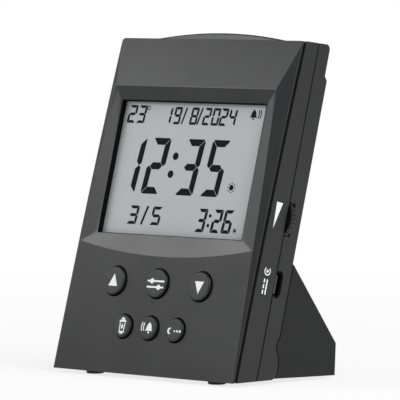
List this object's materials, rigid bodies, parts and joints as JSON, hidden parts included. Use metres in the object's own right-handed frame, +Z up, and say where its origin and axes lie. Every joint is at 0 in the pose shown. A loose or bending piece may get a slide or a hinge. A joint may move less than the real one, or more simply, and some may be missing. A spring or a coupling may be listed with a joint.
{
  "type": "azan clock",
  "caption": "Leaning desk prayer clock with a hooded front, recessed display, round keys, a press bar on top, a thumbwheel and a wedge battery base.",
  "frame": {"origin": "middle of the footprint, on the surface that the feet stand on", "axes": "+X to the right as seen from the front, +Y backwards, +Z up; the display looks towards -Y and leans back"},
  "size_m": [0.0918, 0.0532, 0.1217],
  "materials": {
    "shell_grey": "fine spark-eroded dark grey ABS",
    "base_grey": "fine textured dark grey ABS",
    "cap_grey": "satin dark grey moulding with white printed signs",
    "wheel_black": "ribbed black moulding",
    "display_film": "satin reflective grey liquid crystal display film",
    "display_glass": "clear float glass",
    "clear_plastic": "clear acrylic with a diffusing back",
    "white_plastic": "plain white moulding",
    "strip_rubber": "layered silicone contact strip",
    "board_green": "green solder mask",
    "part_black": "moulded black packages",
    "plunger_cream": "plain cream moulding",
    "plated_steel": "bright nickel plating",
    "cell_jacket": "plain printed shrink jacket",
    "foot_rubber": "black silicone"
  },
  "bodies": {
    "case": {"front_fascia": "shell_grey", "front_frame": "shell_grey", "rear_case": "shell_grey", "battery_base": "base_grey", "display_polariser": "display_film", "display_glass": "display_glass", "light_guide": "clear_plastic", "display_holder": "white_plastic", "contact_strips": "strip_rubber", "backlight_strip": "board_green", "main_board": "board_green", "board_components": "part_black", "temperature_sensor": "part_black", "button_switches": "part_black", "top_bar_switch": "part_black", "volume_control": "part_black", "supply_socket_shell": "plated_steel", "supply_socket_tongue": "part_black", "speaker_basket": "plated_steel", "speaker_magnet": "plated_steel", "speaker_cone": "white_plastic", "battery_cell_lower": "cell_jacket", "battery_cell_upper": "cell_jacket", "battery_bridge": "plated_steel", "battery_tabs": "plated_steel", "feet": "foot_rubber", "case_screws": "plated_steel", "base_screws": "plated_steel"},
    "up_key": {"up_button": "cap_grey", "up_plunger": "plunger_cream"},
    "ok_key": {"ok_button": "cap_grey", "ok_plunger": "plunger_cream"},
    "down_key": {"down_button": "cap_grey", "down_plunger": "plunger_cream"},
    "lamp_key": {"lamp_button": "cap_grey", "lamp_plunger": "plunger_cream"},
    "bell_key": {"bell_button": "cap_grey", "bell_plunger": "plunger_cream"},
    "doze_key": {"doze_button": "cap_grey", "doze_plunger": "plunger_cream"},
    "snooze_bar": {"top_bar": "cap_grey", "top_bar_plunger": "plunger_cream"},
    "thumbwheel": {"volume_wheel": "wheel_black"},
    "door": {"battery_door": "base_grey"}
  },
  "joints": [
    {"name": "up_press", "type": "slide", "parent": "case", "child": "up_key", "axis": [0, 0.9646, -0.2639], "range_m": [0, 0.0006], "stiffness_N_per_m": 1500, "springref_m": -0.0003},
    {"name": "ok_press", "type": "slide", "parent": "case", "child": "ok_key", "axis": [0, 0.9646, -0.2639], "range_m": [0, 0.0006], "stiffness_N_per_m": 1500, "springref_m": -0.0003},
    {"name": "down_press", "type": "slide", "parent": "case", "child": "down_key", "axis": [0, 0.9646, -0.2639], "range_m": [0, 0.0006], "stiffness_N_per_m": 1500, "springref_m": -0.0003},
    {"name": "lamp_press", "type": "slide", "parent": "case", "child": "lamp_key", "axis": [0, 0.9646, -0.2639], "range_m": [0, 0.0006], "stiffness_N_per_m": 1500, "springref_m": -0.0003},
    {"name": "bell_press", "type": "slide", "parent": "case", "child": "bell_key", "axis": [0, 0.9646, -0.2639], "range_m": [0, 0.0006], "stiffness_N_per_m": 1500, "springref_m": -0.0003},
    {"name": "doze_press", "type": "slide", "parent": "case", "child": "doze_key", "axis": [0, 0.9646, -0.2639], "range_m": [0, 0.0006], "stiffness_N_per_m": 1500, "springref_m": -0.0003},
    {"name": "bar_press", "type": "slide", "parent": "case", "child": "snooze_bar", "axis": [0, -0.2639, -0.9646], "range_m": [0, 0.0009], "stiffness_N_per_m": 1500, "springref_m": -0.0003},
    {"name": "volume_turn", "type": "hinge", "parent": "case", "child": "thumbwheel", "pos_m": [0.03775, 0.0017, 0.05706], "axis": [0, 0.9646, -0.2639], "range_deg": [-140, 140]},
    {"name": "door_slide", "type": "slide", "parent": "case", "child": "door", "axis": [0, 0.6047, -0.7964], "range_m": [0, 0.012]}
  ]
}
